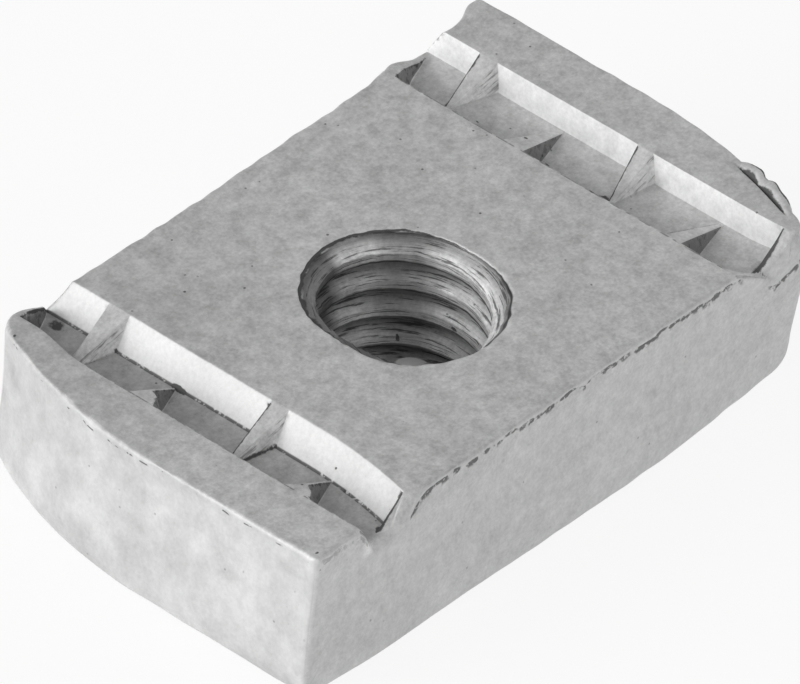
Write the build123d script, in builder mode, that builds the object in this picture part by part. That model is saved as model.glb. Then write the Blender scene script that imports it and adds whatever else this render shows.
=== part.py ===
from build123d import *
import os

# Channel nut: one forged steel block that spans a strut channel. It carries two toothed grooves
# that grip the inturned lips of the channel, and one threaded hole.
# Frame: X along the nut, Y across it, Z up. The origin lies under the middle of the block.

# Block
length = 35.5              # end to end, above the swell
width = 21.1               # side to side, above the swell
thickness = 8.2

# Swing corners: two opposite corners are cut to an arc, so that the nut turns inside the channel
swing_cut_x = 2.5          # length that the arc takes off the long side
swing_start_y = 0.5        # how far before the middle the arc leaves the end face
arc_corner_radius = 0.8    # where an arc meets a long side

# Edges
foot_radius = 1.3          # rolled bottom edge
top_edge_radius = 0.2      # top edge all round

# Swell of the walls: the struck blank stands out towards its foot
swell_top = 6.5            # height at which the walls begin to stand out
end_swell = 0.6            # each end and its swing arc, at the bottom plane
side_swell = 0.55          # middle of each long side, at the bottom plane

# Grooves for the channel lips
groove_spacing = 25.35     # middle to middle
groove_width = 4.05        # at the top face
groove_depth = 1.4
inner_wall_run = 1.1       # slope of the wall beside the hole, measured along X
outer_wall_run = 0.25      # slope of the wall beside the end

# Coined teeth, in two rows to a groove: each tooth falls from one wall to the foot of the other
rising_teeth_y = (7.8, -1.8, -10.4)    # teeth that stand on the wall facing -X
falling_teeth_y = (10.5, 2.8, -6.7)    # teeth that stand on the wall facing +X
tooth_base_width = 1.2     # along Y, where the tooth meets its wall
tooth_tip_width = 0.25     # along Y, at the foot of the other wall
tooth_flank_run = 0.45     # how far each flank spreads from the crest to the groove floor
tooth_tip_shift = 0.45     # the tips of the falling teeth stand this far towards +Y
groove_shift_y = 0.2       # the far groove was struck this much further towards +Y than the middle

# Threaded hole, 3/8 inch with 16 turns to the inch
hole_x = -0.9              # the hole was struck a little off the middle
hole_y = -0.8
thread_major_radius = 4.76
thread_minor_radius = 3.99
rim_angle = 120            # countersink up to the major radius, at both faces

# How far cutting shapes run past the faces that they cut
overrun = 1.0


def tooth_section(crest_width, crest_height, flank_slope):
    """Corners of a tooth's section across the groove, from its crest down to its buried base."""
    half = crest_width / 2
    spread = crest_height * flank_slope
    return [(-half, crest_height), (half, crest_height), (half + spread, 0), (-half - spread, 0)]


def toothed_groove(side, y_shift):
    """The space that the coining punch leaves in the top face, with its teeth left standing.

    side is -1 for the groove at the -X end and 1 for the one at the +X end.
    """
    middle = side * groove_spacing / 2
    inner_edge = middle - side * groove_width / 2
    outer_edge = middle + side * groove_width / 2
    inner_foot = inner_edge + side * inner_wall_run
    outer_foot = outer_edge - side * outer_wall_run
    floor = thickness - groove_depth
    buried = floor - overrun

    edges = {-1: min(inner_edge, outer_edge), 1: max(inner_edge, outer_edge)}
    feet = {-1: min(inner_foot, outer_foot), 1: max(inner_foot, outer_foot)}
    flank_slope = tooth_flank_run / groove_depth
    rows = [(1, rising_teeth_y, 0), (-1, falling_teeth_y, tooth_tip_shift)]

    with BuildPart() as punch:
        with BuildSketch(Plane.XZ):
            with BuildLine():
                Polyline(
                    (inner_edge, thickness + overrun), (inner_edge, thickness),
                    (inner_foot, floor), (outer_foot, floor),
                    (outer_edge, thickness), (outer_edge, thickness + overrun),
                    close=True,
                )
            make_face()
        extrude(amount=width / 2 + overrun, both=True)

        for wall, centres, tip_shift in rows:
            base_x = edges[wall]
            tip_x = feet[-wall]
            for y in centres:
                base_plane = Plane((base_x, y + y_shift, buried), x_dir=(0, 1, 0), z_dir=(1, 0, 0))
                tip_plane = Plane(
                    (tip_x, y + y_shift + tip_shift, buried), x_dir=(0, 1, 0), z_dir=(1, 0, 0))
                with BuildSketch(base_plane):
                    with BuildLine():
                        Polyline(
                            *tooth_section(tooth_base_width, groove_depth + overrun, flank_slope),
                            close=True)
                    make_face()
                with BuildSketch(tip_plane):
                    with BuildLine():
                        Polyline(
                            *tooth_section(tooth_tip_width, overrun, flank_slope), close=True)
                    make_face()
                loft(ruled=True, mode=Mode.SUBTRACT)
    return punch.part


near_groove = toothed_groove(-1, -groove_shift_y)
far_groove = toothed_groove(1, groove_shift_y)



def side_line(start, end, bow):
    """A long side in plan, straight or bowed in Y at its middle."""
    if bow == 0:
        return Line(start, end)
    return ThreePointArc(start, ((start.X + end[0]) / 2, start.Y + bow), end)


def block_plan(level, end_out, side_out):
    """Plan of the block at one height: square at two corners, swept to an arc at the other two.

    end_out is how far the ends stand out there, and side_out how far the long sides bow.
    """
    end_x = length / 2 + end_out
    side_y = width / 2
    arc_x = length / 2 - swing_cut_x
    with BuildSketch(Plane.XY.offset(level)) as plan:
        with BuildLine():
            near_end = Line((-end_x, -swing_start_y), (-end_x, -side_y))
            near_side = side_line(near_end @ 1, (arc_x, -side_y), -side_out)
            far_arc = TangentArc((end_x, swing_start_y), near_side @ 1, tangent=(0, -1))
            far_end = Line(far_arc @ 0, (end_x, side_y))
            far_side = side_line(far_end @ 1, (-arc_x, side_y), side_out)
            TangentArc(near_end @ 0, far_side @ 1, tangent=(0, 1))
        make_face()
    return plan.sketch


with BuildPart() as channel_nut:
    # Walls that stand out towards the foot, and straight ones above them
    add(block_plan(0, end_swell, side_swell))
    add(block_plan(swell_top, 0, 0))
    loft(ruled=True)
    add(block_plan(swell_top, 0, 0))
    extrude(amount=thickness - swell_top)
    fillet(faces().sort_by(Axis.Z)[0].edges(), radius=foot_radius)

    # Corners at the ends of the arcs, as seen from above
    with BuildSketch():
        add(block_plan(0, end_swell + overrun, side_swell + overrun))
        fillet([v for v in vertices() if v.X * v.Y < 0 and abs(v.Y) > width / 4],
               radius=arc_corner_radius)
    extrude(amount=thickness, mode=Mode.INTERSECT)
    fillet(faces().sort_by(Axis.Z)[-1].edges(), radius=top_edge_radius)

    # Lip grooves
    add(near_groove, mode=Mode.SUBTRACT)
    add(far_groove, mode=Mode.SUBTRACT)

    # Hole for the thread, opened at both rims
    with Locations((hole_x, hole_y, thickness), Location((hole_x, hole_y, 0), (180, 0, 0))):
        CounterSinkHole(thread_minor_radius, thread_major_radius, counter_sink_angle=rim_angle)

channel_nut.part.label = "channel_nut"

os.makedirs("parts", exist_ok=True)
export_step(channel_nut.part, "parts/channel_nut.step")
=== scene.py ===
import math

import bmesh
import bpy
import numpy as np
from bpy.props import FloatProperty, FloatVectorProperty, PointerProperty
from mathutils import Matrix, Vector
from mathutils.geometry import delaunay_2d_cdt


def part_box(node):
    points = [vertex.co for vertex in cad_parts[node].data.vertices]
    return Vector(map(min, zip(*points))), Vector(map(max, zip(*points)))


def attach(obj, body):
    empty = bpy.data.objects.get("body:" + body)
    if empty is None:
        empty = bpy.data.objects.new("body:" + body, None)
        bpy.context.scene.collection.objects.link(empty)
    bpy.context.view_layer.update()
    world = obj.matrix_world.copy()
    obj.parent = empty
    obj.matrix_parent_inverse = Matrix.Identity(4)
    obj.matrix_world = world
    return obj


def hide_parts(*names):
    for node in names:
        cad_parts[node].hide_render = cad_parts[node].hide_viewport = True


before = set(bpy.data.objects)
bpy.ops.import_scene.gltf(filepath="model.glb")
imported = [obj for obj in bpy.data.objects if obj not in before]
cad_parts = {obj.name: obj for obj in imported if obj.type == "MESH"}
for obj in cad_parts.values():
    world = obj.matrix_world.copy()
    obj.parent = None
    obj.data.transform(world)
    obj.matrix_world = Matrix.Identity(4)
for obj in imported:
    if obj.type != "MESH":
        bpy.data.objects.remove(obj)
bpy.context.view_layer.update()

bl_info = {
    "name": "Channel nut",
    "version": (1, 0, 0),
    "blender": (4, 5, 0),
    "location": "3D View > Sidebar > Channel nut",
    "description": "A coined and threaded steel nut for a strut channel, with its stage",
    "category": "Add Mesh",
}

MM = 0.001
WELD_DISTANCE = 2e-6       # metres, within which points of two parts are one
SHARP_ANGLE = 50           # degrees between two faces from which their edge is sharp
block_low, block_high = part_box("channel_nut")


# Numbers in the frame of the model, in millimetres where nothing else is said

# Swing arcs at two opposite corners
NEAR_ARC = {"cut": 2.58, "start": 0.62, "corner": 0.45}
FAR_ARC = {"cut": 2.4, "start": 0.4, "corner": 1.14}
SQUARE_CORNER = 0.25

# Lip grooves, given for the near one: the far one is its mirror image
OUTER_EDGE, OUTER_FOOT, INNER_FOOT, INNER_EDGE = 14.7, 14.42, 11.75, 10.65
GROOVE_FLOOR = 6.8
FLANK_RUN = 0.34           # how far a tooth's flank spreads for each mm that it falls
# Where a line of the grooves leaves its straight course: how far, from which Y, and over what length
NEAR_INNER_BACK = (0.8, -4.5, 6.0)     # the near groove's inner edge draws back towards -Y
NEAR_OUTER_IN = (0.5, 6.3, 3.2)        # the near groove's outer edge comes in towards +Y
FAR_WALL_LIES = (1.5, -9.2, 1.3)       # the far groove's inner wall lies down towards -Y
NEAR_WALL_LIES = (0.75, -9.0, 1.1)     # the near groove's outer wall lies down towards -Y

# Teeth, each as a list of stops from the land down to the floor of the groove: the distance from
# the middle of the block, the Y of the crest's two edges, and how far the crest has come down.
# A rising tooth stands on the wall that faces -X, a falling one on the wall that faces +X.
# A nub stays level with the land at first, then goes on as a thin ridge. A lip closes the groove.
NEAR_TEETH = [
    ("lip", [(14.3, 12.8, 10.2, 0.0), (13.7, 12.8, 10.25, 0.05), (13.0, 12.8, 10.3, 0.28),
             (12.2, 12.8, 10.38, 0.8), (11.7, 12.8, 10.42, 1.4)]),
    ("rising", [(10.65, 8.22, 6.99, 0.0), (14.42, 7.56, 7.36, 1.4)]),
    ("falling", [(14.7, 3.38, 1.93, 0.0), (14.06, 2.95, 2.24, 0.03), (13.87, 2.86, 2.72, 0.08),
                 (11.75, 3.2, 3.06, 1.4)]),
    ("rising", [(10.65, -1.6, -2.6, 0.0), (14.42, -2.05, -2.25, 1.4)]),
    ("falling", [(14.7, -5.93, -7.45, 0.0), (14.2, -6.35, -7.13, 0.03), (13.95, -6.5, -6.66, 0.08),
                 (11.75, -6.13, -6.27, 1.4)]),
    ("rising", [(11.35, -10.04, -10.1, 0.0), (13.03, -9.97, -10.02, 1.4)]),
]
FAR_TEETH = [
    ("lip", [(10.5, 12.8, 9.95, 0.0), (14.1, 12.8, 10.32, 1.4)]),
    ("rising", [(14.7, 8.51, 7.42, 0.0), (11.75, 8.05, 7.85, 1.4)]),
    ("falling", [(10.65, 3.54, 2.34, 0.0), (14.42, 3.2, 3.0, 1.4)]),
    ("rising", [(14.7, -1.06, -2.0, 0.0), (11.75, -1.85, -2.05, 1.4)]),
    ("falling", [(10.65, -6.18, -7.17, 0.0), (14.42, -6.4, -6.6, 1.4)]),
    ("rising", [(14.6, -9.7, -10.34, 0.0), (12.1, -10.05, -10.3, 1.4)]),
]
PAST_TIP_FALL = 0.9        # how fast a crest's line goes on down into the floor beyond its tip
CREST_GAP = 0.05           # least room left between two crease lines of a tooth
LAND_SPREAD = 0.45         # how far the same lines stand apart on the plain land
CREASE_ROOM, LAND_ROOM = (0.07, 0.04), (0.12, 0.06)    # least room from the last lines to the -Y side

# Dark lines of painted shade along the teeth, in the creases by their crests: groove, tooth, edge of the
# crest and strength. The last tooth of the far groove has a wide crescent of painted shade instead, and that
# of the near groove
# a line that widens: distances from the middle, and its widths there.
TOOTH_SHADE_LINES = [
    (-1, 0, "low", 1.0), (-1, 1, "foot", 0.5), (-1, 2, "low", 0.6), (-1, 3, "high", 1.0),
    (-1, 3, "foot", 0.8), (-1, 4, "low", 0.6), (-1, 5, "high", 1.4),
    (1, 0, "low", 0.6), (1, 1, "high", 0.9), (1, 2, "high", 0.3), (1, 3, "high", 1.0), (1, 3, "foot", 0.3),
    (1, 4, "high", 0.7), (1, 5, "high", 1.4),
]
LAST_NEAR_LINE = ([11.3, 12.5, 12.8, 13.05], [0.06, 0.13, 0.14, 0.02])
HIGH_LINE_WIDTH, LINE_WIDTH = 0.11, 0.06
CRESCENT_START, CRESCENT_LENGTH = 12.1, 2.2            # distance from the middle, along X
CRESCENT_LEAST, CRESCENT_SWELL = 0.1, 0.22             # its width at the ends, and more at its middle

# Rounds of the top's edges, along the long sides and at the two ends, and the wear at the ends of
# the grooves
SIDE_ROUND, NEAR_END_ROUND, FAR_END_ROUND = 0.15, 0.2, 0.1
NEAR_WEAR, FAR_WEAR = 0.7, 0.4

# Metal that the coining pushed out of the long sides: middle in X, half width, and how far out
FAR_SIDE_BURRS = [
    (-14.1, 0.9, 0.25), (-4.0, 6.0, -0.15), (11.6, 1.4, 0.5), (14.4, 0.9, 0.2), (17.35, 1.3, 0.78),
]
NEAR_SIDE_BURRS = [(-17.0, 0.8, 0.05)]
# How far each groove's floor stands out there: side, middle in X, half width, amount
FLOOR_BULGES = [(1, -12.6, 1.9, 0.62), (1, 13.4, 2.2, 0.74), (-1, -12.6, 1.9, 0.05), (-1, 13.0, 2.0, 0.1)]
BURR_ROOM = 1.3            # how far in from the side the top is drawn along
BURR_LOW, BURR_HIGH = 4.6, 7.2         # heights at which a burr ends and is whole

# Flake of metal that stands along the far swing arc: from Y to Y, and the crack beside it
FLAKE_START, FLAKE_END = -5.3, -9.2
FLAKE_OUT, FLAKE_RISE, CRACK_IN, CRACK_DEEP = 0.34, 0.18, 0.42, 0.24

# Lumps: place, radius, and the way and distance that the metal is pushed
LUMPS = [
    ((14.95, -10.35, 6.9), 1.1, (0.42, -0.26, 0.12)),
    ((14.3, -10.9, 7.6), 0.7, (0.05, -0.2, 0.1)),
    ((15.4, -10.2, 4.9), 1.9, (0.3, -0.2, 0.0)),
]

# Dark blots on the top side, painted shade where they sit in the creases by the teeth: place in plan, half
# sizes, strength
BLOTS = [
    (-12.2, 9.75, 0.42, 0.3, 0.75), (-11.75, 3.0, 0.12, 0.38, 1.6), (-12.6, 2.6, 0.6, 0.4, 0.35),
    (-13.5, 10.75, 0.5, 0.35, 0.8), (10.72, -1.9, 0.2, 0.2, 0.8), (12.15, 6.3, 0.14, 0.1, 1.2),
    (14.6, 11.3, 0.5, 0.9, 0.9), (16.62, 7.52, 0.12, 0.13, 1.6),
    (11.9, 3.2, 0.1, 0.12, 1.3), (14.35, 5.9, 0.12, 0.1, 1.0), (11.9, -1.35, 0.32, 0.2, 1.3),
    (12.0, 2.0, 0.12, 0.1, 0.9), (-17.3, -10.2, 0.14, 0.12, 0.8), (-15.4, 9.6, 0.12, 0.12, 0.9),
]

# Threaded hole
HOLE_X, HOLE_Y = -0.96, -0.87
THREAD_START = 0.39        # height of a turn's lower edge at the +X side of the hole
THREAD_CREST, THREAD_ROOT = 0.5, 0.2   # heights of the flats at the minor and the major radius
THREAD_PITCH = 1.5875
FOOT_RIM_OUT = 0.36        # how far the lower rim stands out from the major radius
FOOT_RIM_SLOPE = 1.7       # how fast the opening narrows above it
RIM_STEPS = 192
# Nicks in the turns: angle in degrees, height, half sizes
NICKS = [(4.4, 3.83, 2.4, 0.1), (43.1, 2.55, 1.2, 0.16)]
# The glint is a painted highlight
GLINT_ANGLE, GLINT_Z = 34.0, 1.12      # a bright place on the lowest turn in sight
TURN_STEPS = 16
TEAR_DEEP = 0.03           # how ragged the crests are

# Rim of the hole by the angle round it, from +X towards +Y: its radius, the round of its edge,
# the strength of the line of painted shade along it, and how fast the opening narrows below it
RIM_RADII = [(0, 4.5), (45, 4.8), (90, 4.9), (135, 4.74), (180, 4.42), (225, 4.76), (270, 4.82), (315, 4.72)]
RIM_ROUNDS = [(0, 0.1), (45, 0.05), (90, 0.05), (135, 0.06), (180, 0.12), (225, 0.3), (270, 0.36), (315, 0.3)]
RIM_SHADE_LINE = [(0, 0.3), (45, 0.9), (90, 1.2), (135, 1.2), (180, 0.8), (215, 0.2), (270, 0.0), (315, 0.0)]
RIM_CONES = [(0, 2.6), (45, 8.0), (90, 9.0), (135, 7.0), (180, 4.0), (225, 1.8), (270, 1.4), (315, 1.6)]

RING_GAPS = (0.0, 0.012, 0.04, 0.09, 0.17, 0.28, 0.42)     # rings of the land round the rim
LAST_RING_GAP, LAST_RING_LEAST = 0.65, 5.3

# Foot of the block: the height over which each wall rounds under, and how far the walls stand out
END_FOOT, SIDE_FOOT = 1.64, 1.1
NEAR_BULGE, FAR_BULGE, NEAR_SIDE_BOW, FAR_SIDE_BOW = 0.6, 0.2, 0.46, 0.3
NEAR_SIDE_TILT = 0.25      # how far the -Y side's foot stands out at one end, and in at the other

# Grid of the top side: steps between the crease lines of the teeth, and columns of the outer lands
# from the outline inwards
ROW_STEPS = [7, 5, 7, 15] * 5 + [7]
EDGE_STEPS = [0.0, 0.02, 0.05, 0.1, 0.16, 0.22, 0.28, 0.34, 0.38, 0.42, 0.46, 0.5, 0.58]
EDGE_ROOM = 0.65
LAND_LEAST = 0.75          # least width of an outer land
HOLE_ROOM = 6.3            # half of the rectangle that the grid leaves out for the hole
ROW_EDGES = (0.0, 0.01, 0.025, 0.045)  # the first rows, from the side inwards

# Stage, in metres: soft lights by kind, place and size, and the camera's turn, tilt and roll in
# degrees, its distance, and the point that it aims at, in millimetres to the right of the frame's
# origin and above it
SOFT_LIGHTS = [
    ("low", (-0.977, 0.0, 0.215), 0.6),
    ("rear", (-0.739, 0.506, 0.445), 0.7),
    ("far", (0.949, -0.1, 0.3), 0.7),
    ("front", (-0.45, -0.6, 0.66), 0.6),
]
CAMERA_ANGLES = (-140.179, 38.691, 3.053)
CAMERA_DISTANCE = 1.0
CAMERA_AIM = (0.134, 3.518)


# Small tools

def smooth_max(a, b, k):
    h = np.clip(0.5 + 0.5 * (a - b) / k, 0.0, 1.0)
    return b * (1 - h) + a * h + k * h * (1 - h)


def smooth_min(a, b, k):
    return -smooth_max(-a, -b, k)


def ease(t):
    t = np.clip(t, 0.0, 1.0)
    return t * t * (3 - 2 * t)


def round_over(distance, radius):
    """How far a rounded edge lies below the corner, at a distance from the wall."""
    left = np.clip(radius - distance, 0.0, radius)
    return radius - np.sqrt(np.maximum(radius * radius - left * left, 0.0))


def waves(x, y, z, size, seed, count=14):
    """A smooth random field between about -1 and 1, with bumps of one size."""
    rng = np.random.RandomState(seed)
    total = np.zeros(np.broadcast(x, y, z).shape)
    for _ in range(count):
        way = rng.normal(size=3)
        way /= np.linalg.norm(way)
        turn = 2 * math.pi / (size * rng.uniform(0.7, 1.6))
        total = total + np.sin((x * way[0] + y * way[1] + z * way[2]) * turn + rng.uniform(0, 2 * math.pi))
    return total / math.sqrt(count)


def round_profile(pairs, angles):
    """A value that goes smoothly round a circle, from its values at a few angles in degrees."""
    keys = [math.radians(a) for a, _ in pairs] + [2 * math.pi]
    values = [v for _, v in pairs] + [pairs[0][1]]
    angles = np.mod(angles, 2 * math.pi)
    place = np.clip(np.searchsorted(keys, angles, side="right") - 1, 0, len(pairs) - 1)
    keys, values = np.array(keys), np.array(values)
    t = ease((angles - keys[place]) / (keys[place + 1] - keys[place]))
    return values[place] * (1 - t) + values[place + 1] * t


def runs(*stops):
    """Numbers that go from stop to stop: each stop after the first is (value, steps)."""
    out = [stops[0]]
    for value, steps in stops[1:]:
        out += list(np.linspace(out[-1], value, steps + 1)[1:])
    return np.array(out)


# The block's form

class Block:
    """The form of the block as functions of the place in plan."""

    def __init__(self, sizes):
        self.length = sizes.length / MM
        self.width = sizes.width / MM
        self.top = sizes.thickness / MM
        self.depth = sizes.groove_depth / MM
        self.major = sizes.thread_major_radius / MM
        self.minor = sizes.thread_minor_radius / MM
        self.pitch = sizes.thread_pitch / MM
        self.floor = self.top - self.depth

    def arc(self, y, spec):
        """How far a swing arc cuts in at y, counted from the middle towards the arc."""
        reach = self.width / 2 - spec["start"]
        radius = (spec["cut"] ** 2 + reach ** 2) / (2 * spec["cut"])
        over = np.clip(y - spec["start"], 0.0, reach)
        return radius - np.sqrt(radius ** 2 - over ** 2)

    def end_line(self, y, spec):
        """How far in from the end face the outline runs, with the arc on the +Y side."""
        side = self.width / 2
        cut = self.arc(y, spec)
        cut = cut + round_over(side - y, spec["corner"])
        return cut + round_over(side + y, SQUARE_CORNER)

    def x_low(self, y):
        near = {"cut": NEAR_ARC["cut"], "start": -NEAR_ARC["start"], "corner": NEAR_ARC["corner"]}
        return -self.length / 2 + self.end_line(y, near)

    def x_high(self, y):
        far = {"cut": FAR_ARC["cut"], "start": -FAR_ARC["start"], "corner": FAR_ARC["corner"]}
        return self.length / 2 - self.end_line(-y, far)

    def edge_shift(self, side, y):
        """How far the inner edge of a groove has drawn back from its straight line, along X."""
        most, start, length = NEAR_INNER_BACK
        return -most * np.clip((start - y) / length, 0, 1) ** 2 if side < 0 else 0.0 * y

    def outer_shift(self, side, y):
        """How far the outer edge of a groove stands nearer to the middle than its straight line."""
        most, start, length = NEAR_OUTER_IN
        return most * ease((y - start) / length) if side < 0 else 0.0 * y

    def tooth_lines(self, tooth, along):
        """Crest height and the two crest edges of a tooth, at a distance from the middle of the block."""
        stops = sorted(tooth[1])
        places, high, low, drop = (np.array(column) for column in zip(*stops))
        past = places[0] - along if drop[0] > drop[-1] else along - places[-1]
        crest = self.top - np.interp(along, places, drop) - np.maximum(past, 0) * PAST_TIP_FALL
        return crest, np.interp(along, places, high), np.interp(along, places, low)

    def groove(self, side, along, y):
        """Height of the plain groove's section."""
        inner_run, outer_run = INNER_FOOT - INNER_EDGE, OUTER_EDGE - OUTER_FOOT
        most, start, length = NEAR_WALL_LIES if side < 0 else FAR_WALL_LIES
        wider = most * ease((start - y) / length)
        if side < 0:
            outer_run = outer_run + wider
        else:
            inner_run = inner_run + wider
        inner_at = INNER_EDGE - self.edge_shift(side, y)
        outer_at = OUTER_EDGE - self.outer_shift(side, y)
        inner = self.top - (along - inner_at) * self.depth / inner_run
        outer = self.top - (outer_at - along) * self.depth / outer_run
        return smooth_max(smooth_max(inner, outer, 0.04), self.floor, 0.06)

    def side_out(self, x, z, side):
        """How far the metal stands out of a long side at the top."""
        burrs = FAR_SIDE_BURRS if side > 0 else NEAR_SIDE_BURRS
        out = sum(most * np.exp(-((x - middle) / reach) ** 2) for middle, reach, most in burrs)
        down = np.clip((self.top - z) / self.depth, 0, 1)
        for of, middle, reach, most in FLOOR_BULGES:
            if of == side:
                out = out + most * down * np.exp(-((x - middle) / reach) ** 4)
        return out

    def flake(self, y):
        """0 to 1 along the flake."""
        t = np.clip((FLAKE_START - y) / (FLAKE_START - FLAKE_END), 0, 1)
        shape = np.sin(math.pi * t) ** 0.5 * (1 - 0.5 * np.exp(-((t - 0.42) / 0.08) ** 2))
        return shape * np.clip(0.95 + 0.08 * waves(0 * y, y, 0 * y, 0.9, 61, 8), 0.5, 1.2)

    def shade_and_dirt(self, x, y):
        """How dark the lines of painted shade along the teeth and the dark blots are on the top side."""
        dark = np.zeros(x.shape)
        # Lines of painted shade in the creases by the teeth
        for side, place, edge, strength in TOOTH_SHADE_LINES:
            tooth = (NEAR_TEETH if side < 0 else FAR_TEETH)[place]
            along = side * x
            crest, high, low = self.tooth_lines(tooth, along)
            above = crest - self.groove(side, along, y)
            line = {"high": high, "low": low, "foot": low - np.maximum(above, 0) * FLANK_RUN}[edge]
            reach = HIGH_LINE_WIDTH if edge == "high" else LINE_WIDTH
            if (side, place) == (-1, 5):
                reach = np.interp(along, *LAST_NEAR_LINE)
            if (side, place) == (1, 5):
                share = np.clip((along - CRESCENT_START) / CRESCENT_LENGTH, 0, 1)
                reach = CRESCENT_LEAST + CRESCENT_SWELL * np.sin(math.pi * share)
            off = (y - line) / reach
            off = np.where(off < 0, off * 1.5, off) if edge == "high" else off
            inside = (above > 0.04) & (along > INNER_EDGE + 0.1) & (along < OUTER_EDGE - 0.05)
            if edge == "foot":
                inside = inside & (self.groove(side, along, y) < self.floor + 0.15)
            dark = np.maximum(dark, np.where(inside, strength * np.exp(-off ** 2), 0))
        for at_x, at_y, half_x, half_y, strength in BLOTS:
            off = np.hypot((x - at_x) / half_x, (y - at_y) / half_y)
            dark = np.maximum(dark, strength * np.exp(-off ** 4))
        return dark

    def rim(self, angle):
        ragged = 0.035 * waves(4.8 * np.cos(angle), 4.8 * np.sin(angle), 0 * angle, 0.7, 5)
        return round_profile(RIM_RADII, angle) + ragged

    def fall_away(self, z, along, y):
        """The land's corner beyond the near groove's last tooth, which has fallen to the floor."""
        crest_top, crest_y = 11.35, -10.06
        along_fall = np.where(along < crest_top, 0.756, 0.833) * (crest_top - along)
        fallen = self.top + along_fall + np.minimum(y - crest_y, 0) * 1.36
        fallen = smooth_max(fallen, self.floor + 0.05, 0.1)
        return np.where((y < -9.9) & (along > 9.6) & (along < 13.6), smooth_min(z, fallen, 0.08), z)

    def height(self, x, y):
        """Height of the top side of the block."""
        land = self.top + 0.012 * waves(x, y, 0 * x, 5.0, 11) + 0.004 * waves(x, y, 0 * x, 1.2, 12)
        z = land
        for side, teeth in ((-1, NEAR_TEETH), (1, FAR_TEETH)):
            along = side * x
            part = self.groove(side, along, y)
            for tooth in teeth:
                crest, high, low = self.tooth_lines(tooth, along)
                middle, half = (high + low) / 2, (high - low) / 2
                wedge = crest - smooth_max(np.abs(y - middle) - half, 0 * y, 0.03) / FLANK_RUN
                part = smooth_max(part, wedge, 0.05)
            z = np.where(along > INNER_EDGE - 1.0, smooth_min(land, part, 0.035), z)
            if side < 0:
                z = self.fall_away(z, along, y)

        # Edges all round
        side_edge = self.width / 2 - np.abs(y)
        ends = np.minimum(x - self.x_low(y), self.x_high(y) - x)
        uneven = np.clip(1 + 0.45 * waves(x, y, 0 * x, 1.1, 21), 0.3, 2)
        worn = ease((self.top - 0.4 - z) / 0.8) * (y < 0) * np.where(x < 0, NEAR_WEAR, FAR_WEAR)
        z = z - round_over(side_edge, SIDE_ROUND * uneven + worn)
        z = z - round_over(ends, np.where(x < 0, NEAR_END_ROUND, FAR_END_ROUND) * uneven)

        # Crack and flake along the far arc
        from_arc = self.x_high(y) - x
        flake = self.flake(y)
        z = z - CRACK_DEEP * flake * np.exp(-((from_arc - CRACK_IN) / 0.05) ** 2)
        z = z + FLAKE_RISE * flake * ease((CRACK_IN - from_arc) / 0.12)

        # Rim of the hole
        dx, dy = x - HOLE_X, y - HOLE_Y
        angle = np.arctan2(dy, dx)
        from_rim = np.hypot(dx, dy) - self.rim(angle)
        return z - round_over(np.clip(from_rim, 0, None), round_profile(RIM_ROUNDS, angle))

    # Rows run along X. Each keeps to one crease line of the teeth while it crosses a groove.

    def crease_rows(self, side, teeth, along):
        """Y of the crease lines at a distance from the middle, from -Y to +Y."""
        half = self.width / 2
        out = []
        for place, tooth in enumerate(teeth):
            crest, high, low = self.tooth_lines(tooth, along)
            y = (high + low) / 2
            spread = (crest - self.groove(side, along, np.clip(y, -9, 9))) * FLANK_RUN
            spread = max(float(spread), CREST_GAP)
            if place == 0:
                out += [low, low - spread]
            else:
                out += [high + spread, high, max(low, CREASE_ROOM[0] - half),
                        max(low - spread, CREASE_ROOM[1] - half)]
        return np.array(out)[::-1]

    def row_y(self, nominal, x):
        """Y of every row at one x."""
        half = self.width / 2
        plain = []
        for place, (tooth, other) in enumerate(zip(NEAR_TEETH, FAR_TEETH)):
            ends = tooth[1][0], tooth[1][-1], other[1][0], other[1][-1]
            high = sum(end[1] for end in ends) / 4
            low = sum(end[2] for end in ends) / 4
            if place == 0:
                plain += [low, low - LAND_SPREAD]
            else:
                plain += [high + LAND_SPREAD, high, max(low, LAND_ROOM[0] - half),
                          max(low - LAND_SPREAD, LAND_ROOM[1] - half)]
        plain = np.array(plain)[::-1]
        side = -1 if x < 0 else 1
        along = min(max(abs(x), INNER_EDGE), OUTER_EDGE)
        creases = self.crease_rows(side, NEAR_TEETH if side < 0 else FAR_TEETH, along)
        weight = float(ease((abs(x) - INNER_EDGE + 2.5) / 2.5))
        lines = plain + (creases - plain) * weight
        return plain, np.interp(nominal, [-half, *plain, half], [-half, *lines, half])


# The nut's mesh

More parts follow.
